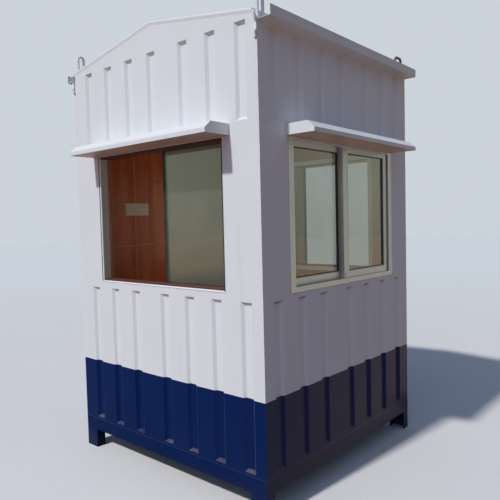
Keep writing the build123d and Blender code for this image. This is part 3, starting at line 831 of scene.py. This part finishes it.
# %% [markdown]
# Where the navy goes round a sharp fold, the fold glints. The glint is painted: a fine
# pale navy line down the right edge of each groove, the brightest at the corner, and one
# along the top of the base channel. Each is a strip a millimetre or two wide, set a hair
# proud of the sheet.

# %% Painted glints on the folds
END_GROOVES = (-0.600, -0.400, -0.200, 0.056, 0.256, 0.456, 0.656)
SIDE_GROOVES = (-0.645, -0.445, -0.245, 0.020, 0.220, 0.420, 0.620)
GROOVE_EDGE, HAIR = 0.036, 0.0004
fold_glint = bmesh.new()
rail_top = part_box("base_end_channels")[1].z
for wall, grooves in (("front", END_GROOVES), ("rear", END_GROOVES), ("right", SIDE_GROOVES)):
    for index, middle in enumerate(grooves):
        u, wide = middle + GROOVE_EDGE, HAIR + 0.0011 * (index / 6) ** 3
        block(fold_glint, (u - wide, rail_top + 0.016, -HAIR), (u + wide, NAVY_LINE - 0.004, HAIR), walls[wall])
# Painted highlight along the top of the base channel too.
for wall in walls:
    reach = half - (0.0005 if wall in ("front", "rear") else 0.0020)
    block(fold_glint, (-reach, rail_top - 0.0008, -HAIR), (reach, rail_top + 0.0005, HAIR), walls[wall])
finish_piece(fold_glint, "painted_fold_glints", "fold_glint")

# %% [markdown]
# The top of each end wall is folded back over the roof's edge. The round of the fold
# looks up at the sky, so it shows as a bright line along both slopes. A folded strip
# again: three columns, at the eaves and the ridge, and a section that swells out by
# three millimetres and rolls back.

# %% Gable folds
ROOF_PITCH = math.radians(9.7)
ROLL_BACK = [
    (0.0001, -0.0230), (0.0022, -0.0120), (0.0030, -0.0085), (0.0026, -0.0045), (0.0012, -0.0015), (0.0001, -0.0008),
]
folds = bmesh.new()
roof_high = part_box("roof_right")[1]
eaves = roof_high.z - roof_high.x * math.tan(ROOF_PITCH)
tops = {-roof_high.x: eaves, 0.0: roof_high.z, roof_high.x: eaves}
for wall in ("front", "rear"):
    matrix = walls[wall]
    folded(folds, list(tops), ROLL_BACK, lambda u, row: matrix @ Vector((u, tops[u] + row[1], row[0])))
finish_piece(folds, "gable_folds", "white_enamel", smooth=True)

# %% [markdown]
# Welds join the corners, the base and the legs. A hand-laid bead is a row of
# overlapping ripples, so a round bead whose radius rises and falls stands for it. The
# corner seams are short stitches, ground nearly flush and painted over. At the legs the
# beads were left as they were.

# %% Welds at the corners and legs
STITCH_PITCH, NEAR, LEG_WIDE, LEG_DEEP = 0.30, 0.008, 0.105, 0.058


def ripples(first, last, radius, pitch, swell=0.28):
    """Points and radii of a rippled bead from one end to the other."""
    first, last = Vector(first), Vector(last)
    count = max(4, int((last - first).length / pitch) * 2)
    points = [first.lerp(last, step / count) for step in range(count + 1)]
    radii = [radius * (1 + (swell if step % 2 else -swell) * random.uniform(0.6, 1.2)) for step in range(count + 1)]
    radii[0] = radii[-1] = radius * 0.5
    return points, radii


def corner(x, y, back_x, back_y, z):
    """A point by one corner, so far back from it along each wall."""
    return x * (half - back_x), y * (half - back_y), z


random.seed(11)
seams, joints = bmesh.new(), bmesh.new()
sheet_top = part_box("right_upper_sheet")[1].z
base_low, base_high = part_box("base_end_channels")
for x in (-1, 1):
    for y in (-1, 1):
        for step in range(int((sheet_top - base_high.z) / STITCH_PITCH)):
            low = base_high.z + 0.01 + step * STITCH_PITCH
            high = low + random.uniform(0.05, 0.09)
            bead(seams, *ripples(corner(x, y, 0.0014, 0.0014, low), corner(x, y, 0.0014, 0.0014, high), 0.0019, 0.006))
        low, high = base_low.z, base_high.z
        for first, last, radius in (
            (corner(x, y, LEG_WIDE, NEAR, low), corner(x, y, LEG_WIDE, LEG_DEEP, low), 0.0032),
            (corner(x, y, NEAR, LEG_DEEP, low), corner(x, y, 0.036, LEG_DEEP, low), 0.0032),
            (corner(x, y, 0.0012, 0.0012, low + NEAR), corner(x, y, 0.0012, 0.0012, high - NEAR), 0.0020),
        ):
            bead(joints, *ripples(first, last, radius, 0.007))
finish_piece(seams, "corner_welds", "wall_paint", smooth=True)
finish_piece(joints, "leg_welds", "base_paint", smooth=True)

# %% [markdown]
# Each lifting loop stands on two feet, each welded all round. The weld is a bead once
# round the bar that ends where it began. The front ones are painted with the wall; at
# the rear both bar and weld were left bare.

# %% Welds at the lifting loops
BAR, WELD_REACH = 0.016, 0.0093
for node, name, finish in (
    ("front_lifting_loops", "front_loop_welds", "white_enamel"),
    ("rear_lifting_loops", "rear_loop_welds", "bare_steel"),
):
    welds = bmesh.new()
    low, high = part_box(node)
    for x in (-1, 1):
        for y in (low.y + BAR / 2, high.y - BAR / 2):
            middle = Vector((x * (high.x - BAR / 2), y, low.z + 0.0015))
            turns = [math.tau * step / 20 for step in range(21)]
            run = [middle + WELD_REACH * Vector((math.cos(turn), math.sin(turn), 0)) for turn in turns]
            bead(welds, run, [0.0027 * random.uniform(0.75, 1.25) for _ in run])
    finish_piece(welds, name, finish, smooth=True)

# %% [markdown]
# The bar of each front loop was cut long. Its outer leg runs on down the corner of the
# side wall, past the end of the gutter, with its tip bent back to the sheet, and is
# white like the wall. It is a bead again, through the points where the bar bends.

# %% Loop tails
tails = bmesh.new()
TAIL_TOP, TAIL_STEP = 2.362, 0.011
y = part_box("gutters")[0].y - 0.0066
for x in (-1, 1):
    run = [(-0.010, -0.002, 2.392), (-0.004, -0.004, 2.380), (0, -0.004, TAIL_TOP)]
    run += [(0.0016, -0.003, TAIL_TOP - TAIL_STEP * step) for step in range(1, 8)]
    run += [(-0.001, -0.001, 2.276), (-0.008, 0.002, 2.270)]
    run = [(x * (half - 0.0035 + out), y + along, z) for out, along, z in run]
    bead(tails, run, [0.0045] + [0.0062] * (len(run) - 2) + [0.0050], sides=10)
finish_piece(tails, "loop_tails", "white_enamel", smooth=True)

# %% [markdown]
# The visors are folded from one sheet each, and hung on the wall. Where they meet it, a
# bead of sealant runs along the top and down both ends, laid by hand like the one round
# the side window.

# %% Visors: sealant
random.seed(21)
fillets = bmesh.new()
for wall in ("front", "right", "rear", "left"):
    low, high = on_wall(f"visor_{wall}", wall)
    run, sizes = [], []
    for step in range(STEPS + 1):
        u = low.x + step / STEPS * (high.x - low.x)
        run.append((u, high.y + 0.0006 + random.uniform(-0.0004, 0.0004), 0.0008))
        sizes.append(0.0034 * random.uniform(0.8, 1.25))
    bead(fillets, run, sizes, walls[wall])
    for u in (low.x, high.x):
        run = [(u, low.y + step / 12 * (high.y - low.y), 0.0006) for step in range(13)]
        bead(fillets, run, [0.0030 * random.uniform(0.8, 1.25) for _ in run], walls[wall])
finish_piece(fillets, "visor_sealant", "sealant", smooth=True)

# %% [markdown]
# The door on the left wall is flush steel in a steel frame, with two pressed panels. It
# needs a rubber strip in the gap round the leaf, screws in its hinge plates, and a
# lock: a round turned cylinder below the handle, with a key slot. The screws' slots and
# the key slot are black blocks: painted shade.

# %% Door: weatherstrip, screws and lock
left_wall = walls["left"]
leaf_low, leaf_high = on_wall("door_leaf", "left")
GAP, HINGE, PLATE = 0.004, 0.090, 0.004
strip, heads, slot_shades, lock = (bmesh.new() for _ in range(4))
strip_low, strip_high = (leaf_low.x - GAP, leaf_low.y - GAP), (leaf_high.x + GAP, leaf_high.y + GAP)
ring(strip, strip_low, strip_high, GAP, left_wall, leaf_high.z - 0.016, leaf_high.z - 0.004)
finish_piece(strip, "door_weatherstrip", "black_rubber_and_shade")

low, high = on_wall("door_hinges", "left")
for row in range(3):
    centre = low.y + HINGE / 2 + row * (high.y - low.y - HINGE) / 2
    for u in (-0.021, 0.021):
        for v in (-0.030, 0, 0.030):
            place = ((low.x + high.x) / 2 + u, centre + v, leaf_high.z + 0.003)
            screw(heads, slot_shades, left_wall, place, 0.0040, 0.0012)
low, high = on_wall("door_handle", "left")
handle_x, plate_w = leaf_low.x + 0.060, leaf_high.z + PLATE
for v in (low.y + 0.012, high.y - 0.012):
    screw(heads, slot_shades, left_wall, (handle_x, v, plate_w), 0.0036, 0.0012)
place = left_wall @ Matrix.Translation((handle_x, low.y + 0.048, plate_w))
turned_part(lock, [(0, 0.0030), (0.0075, 0.0030), (0.0085, 0.0022), (0.0085, -0.001)], place, 24)
# The key slot: a black block, painted shade.
block(slot_shades, (-0.0008, -0.0038, 0.0020), (0.0008, 0.0038, 0.0031), place)
finish_piece(heads, "door_screws", "screw", smooth=True)
finish_piece(slot_shades, "door_slot_shades", "black_rubber_and_shade")
finish_piece(lock, "door_lock", "handle_steel")

# %% [markdown]
# Inside, brown plastic strips cover the joints of the linings: uprights at the boards'
# edges, one level strip on the door's wall, and a skirting at the floor. They stop
# short of the door and the windows, so each is a plain block. A small bare label is
# stuck on the left wall, seen through the open half of the front window.

# %% Joint strips and label
strips, label = bmesh.new(), bmesh.new()
room = half - WALL
floor_z, ceiling_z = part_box("floor_board")[1].z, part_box("ceiling_board")[0].z
window_low, window_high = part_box("front_window_panes")
door_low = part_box("door_frame")[0]
CLEAR_SILL, CLEAR_HEAD = window_low.z - 0.034, window_high.z + 0.034
SIDE_SILL, SIDE_HEAD = 1.040, 1.880


def inner_strip(wall, left, right, foot, head, rise=0.0025):
    """A flat strip on the inside of a wall; left and right are as seen from outside."""
    block(strips, (left, foot, -WALL - rise), (right, head, -WALL), walls[wall])


inner_strip("left", 0.004 - door_low.y, room, 1.281, 1.293)
for u in (0.376, 0.560):
    inner_strip("left", u, u + 0.010, floor_z, ceiling_z)
for wall, sill, head in (
    ("front", CLEAR_SILL, CLEAR_HEAD), ("rear", CLEAR_SILL, CLEAR_HEAD), ("right", SIDE_SILL, SIDE_HEAD),
):
    for u in (-0.240, 0.240):
        inner_strip(wall, u - 0.005, u + 0.005, floor_z, sill)
        inner_strip(wall, u - 0.005, u + 0.005, head, ceiling_z)
    for u in (-0.610, 0.610):
        inner_strip(wall, u - 0.005, u + 0.005, floor_z, ceiling_z)
for wall in ("front", "rear", "right"):
    inner_strip(wall, -room, room, floor_z, floor_z + 0.060, 0.006)
inner_strip("left", 0.004 - door_low.y, room, floor_z, floor_z + 0.060, 0.006)
finish_piece(strips, "lining_strips", "strip", bevel=0.0008, segments=1)
block(label, (0.265, 1.494, -WALL - 0.0035), (0.461, 1.577, -WALL), left_wall)
finish_piece(label, "bare_label", "label")

# %% [markdown]
# The camera stands where the photo was taken: about 1.4 m up, 3.6 m from the booth's
# middle, tipped a few degrees down and rolled a little. Blender's camera looks down its
# own minus Z with Y up, so it is rolled, tipped up to the level and swung round, in
# that order.

# %% Camera
AZIMUTH, PITCH, ROLL = math.radians(41.007), math.radians(-2.98), math.radians(1.393)
STANDPOINT = Vector((2.366, -2.691, 1.432))
SENSOR, FOCAL_PIXELS, FRAME_PIXELS = 36.0, 541.722, 500
swung, tipped = Matrix.Rotation(AZIMUTH, 4, "Z"), Matrix.Rotation(math.pi / 2 + PITCH, 4, "X")
turned = swung @ tipped @ Matrix.Rotation(-ROLL, 4, "Z")

camera_data = bpy.data.cameras.new("camera")
camera_data.sensor_width = SENSOR
camera_data.lens = FOCAL_PIXELS / FRAME_PIXELS * SENSOR
camera_data.clip_end = 200
camera = added("camera", camera_data)
camera.matrix_world = Matrix.Translation(STANDPOINT) @ turned
bpy.context.scene.camera = camera
bpy.context.scene.view_settings.view_transform = "Standard"
print("camera", [round(part, 3) for part in camera.location])

# %% [markdown]
# The light is a high, slightly soft sun from the front and a little to its left, so the
# front is bright, the right wall is in open shade and the visors throw their shadow on
# the front. A very wide, weak one stands for the brighter sky round the sun, and a
# small lamp in the room for the daylight that the linings pass on. Neither shows in a
# mirror.

# %% Lamps
SUN_AZIMUTH, SUN_HEIGHT = math.radians(-5.2), math.radians(48)
BRIGHTEST_SKY = Vector((0.22, -0.80, 0.62))


def lamp(name, kind, energy, colour, **settings):
    """A lamp in the scene, with any further settings of its kind."""
    data = bpy.data.lights.new(name, kind)
    data.energy, data.color = energy, colour
    for key, value in settings.items():
        setattr(data, key, value)
    return added(name, data)


sun = lamp("sun", "SUN", 2.60, (1.0, 0.985, 0.98), angle=math.radians(3))
sun.rotation_euler = (math.pi / 2 - SUN_HEIGHT, 0, SUN_AZIMUTH)
sky = lamp("bright_sky", "SUN", 0.45, (0.62, 0.78, 1.0), angle=math.radians(75))
sky.rotation_euler = BRIGHTEST_SKY.to_track_quat("Z", "Y").to_euler()
glow = lamp("room_glow", "POINT", 7, (1.0, 0.96, 0.90), shadow_soft_size=0.30)
glow.location = (0.05, 0.05, 1.45)
sky.visible_glossy = glow.visible_glossy = glow.visible_camera = glow.visible_transmission = False
print("lamps", sun.name, sky.name, glow.name)

# %% [markdown]
# The world fills in the shade with the blue of an open sky. Behind the booth the camera
# sees a plain pale backdrop, and the panes and the gloss of the paint see nearly the
# same, a little darker. The Light Path node tells these rays apart, so the backdrop can
# be pale without lighting the booth.

# %% World
world = bpy.data.worlds.new("studio")
world.use_nodes = True
bpy.context.scene.world = world
tree = world.node_tree
background = next(node for node in tree.nodes if node.type == "BACKGROUND")
rays = tree.nodes.new("ShaderNodeLightPath")
FILL, THROUGH, MIRRORED = (0.100, 0.138, 0.236), (0.40, 0.46, 0.50), (0.50, 0.52, 0.42)
BACKDROP = (0.60, 0.65, 0.70)
seen = background.inputs["Color"]
for ray, colour in (("Is Camera Ray", BACKDROP), ("Is Transmission Ray", THROUGH), ("Is Glossy Ray", MIRRORED)):
    choice = tree.nodes.new("ShaderNodeMix")
    choice.data_type = "RGBA"
    tree.links.new(rays.outputs[ray], choice.inputs[0])
    choice.inputs[7].default_value = (*colour, 1)
    tree.links.new(choice.outputs[2], seen)
    seen = choice.inputs[6]
seen.default_value = (*FILL, 1)
print("world lit by", FILL, "seen as", BACKDROP)

# %% [markdown]
# The floor is plain and pale to the camera, keeps the booth's shadow, and fades into
# the backdrop far off. The light that it throws back up is warm and darker, and darker
# still in the shade beside the right wall. Mirrored in the panes it is a paler tan,
# with a dim patch towards the front left. The same Light Path trick picks between them.

# %% Floor
LIT = (0.805, 0.825, 0.895)


def under_lamps(colour):
    """The floor colour that these lamps make look like a colour of the backdrop."""
    return tuple(part / lit for part, lit in zip(colour, LIT))


ground = Finish("floor_plain", roughness=0.9)
tone = ground.noise(0.8, 4.0, 0.6)
across, along = ground.part(ground.place, "X"), ground.part(ground.place, "Y")
distance = ground.maths("SQRT", across * across + along * along)

pale = ground.mix(tone, (0.72, 0.71, 0.70), (0.76, 0.75, 0.74))
pale = ground.mix(ground.ramp(distance, 3.0, 15.0), pale, under_lamps(BACKDROP))

bounce = ground.mix(tone, (0.272, 0.150, 0.098), (0.304, 0.168, 0.112))
beside = ground.ramp(across, 0.60, 0.90) * ground.ramp(across, 3.2, 1.6) * 0.5
bounce = ground.mix(beside, bounce, (0.05, 0.045, 0.045))

tan = ground.mix(tone, (0.76, 0.60, 0.44), (0.86, 0.68, 0.50))
tan = ground.mix(ground.ramp(distance, 12.0, 60.0), tan, under_lamps(MIRRORED))
dim = ground.ramp((along + across * 0.9) * -1.0, 0.2, 1.0) * ground.ramp(distance, 16.0, 8.0)
tan = ground.mix(dim, tan, ground.mix(ground.noise(3.0, 5.0, 0.7), (0.08, 0.11, 0.12), (0.25, 0.29, 0.29)))

to_camera = ground.node("ShaderNodeLightPath", output="Is Camera Ray")
mirrored = ground.node("ShaderNodeLightPath", output="Is Glossy Ray")
seen_tone = ground.mix(to_camera, ground.mix(mirrored, bounce, tan), pale)
ground.feed(base_color=seen_tone, normal=ground.bump(ground.noise(30.0), 0.0005))

bm = bmesh.new()
bmesh.ops.create_grid(bm, x_segments=1, y_segments=1, size=40)
floor = as_object(bm, "floor", ground.material)
print("floor faces", len(floor.data.polygons))
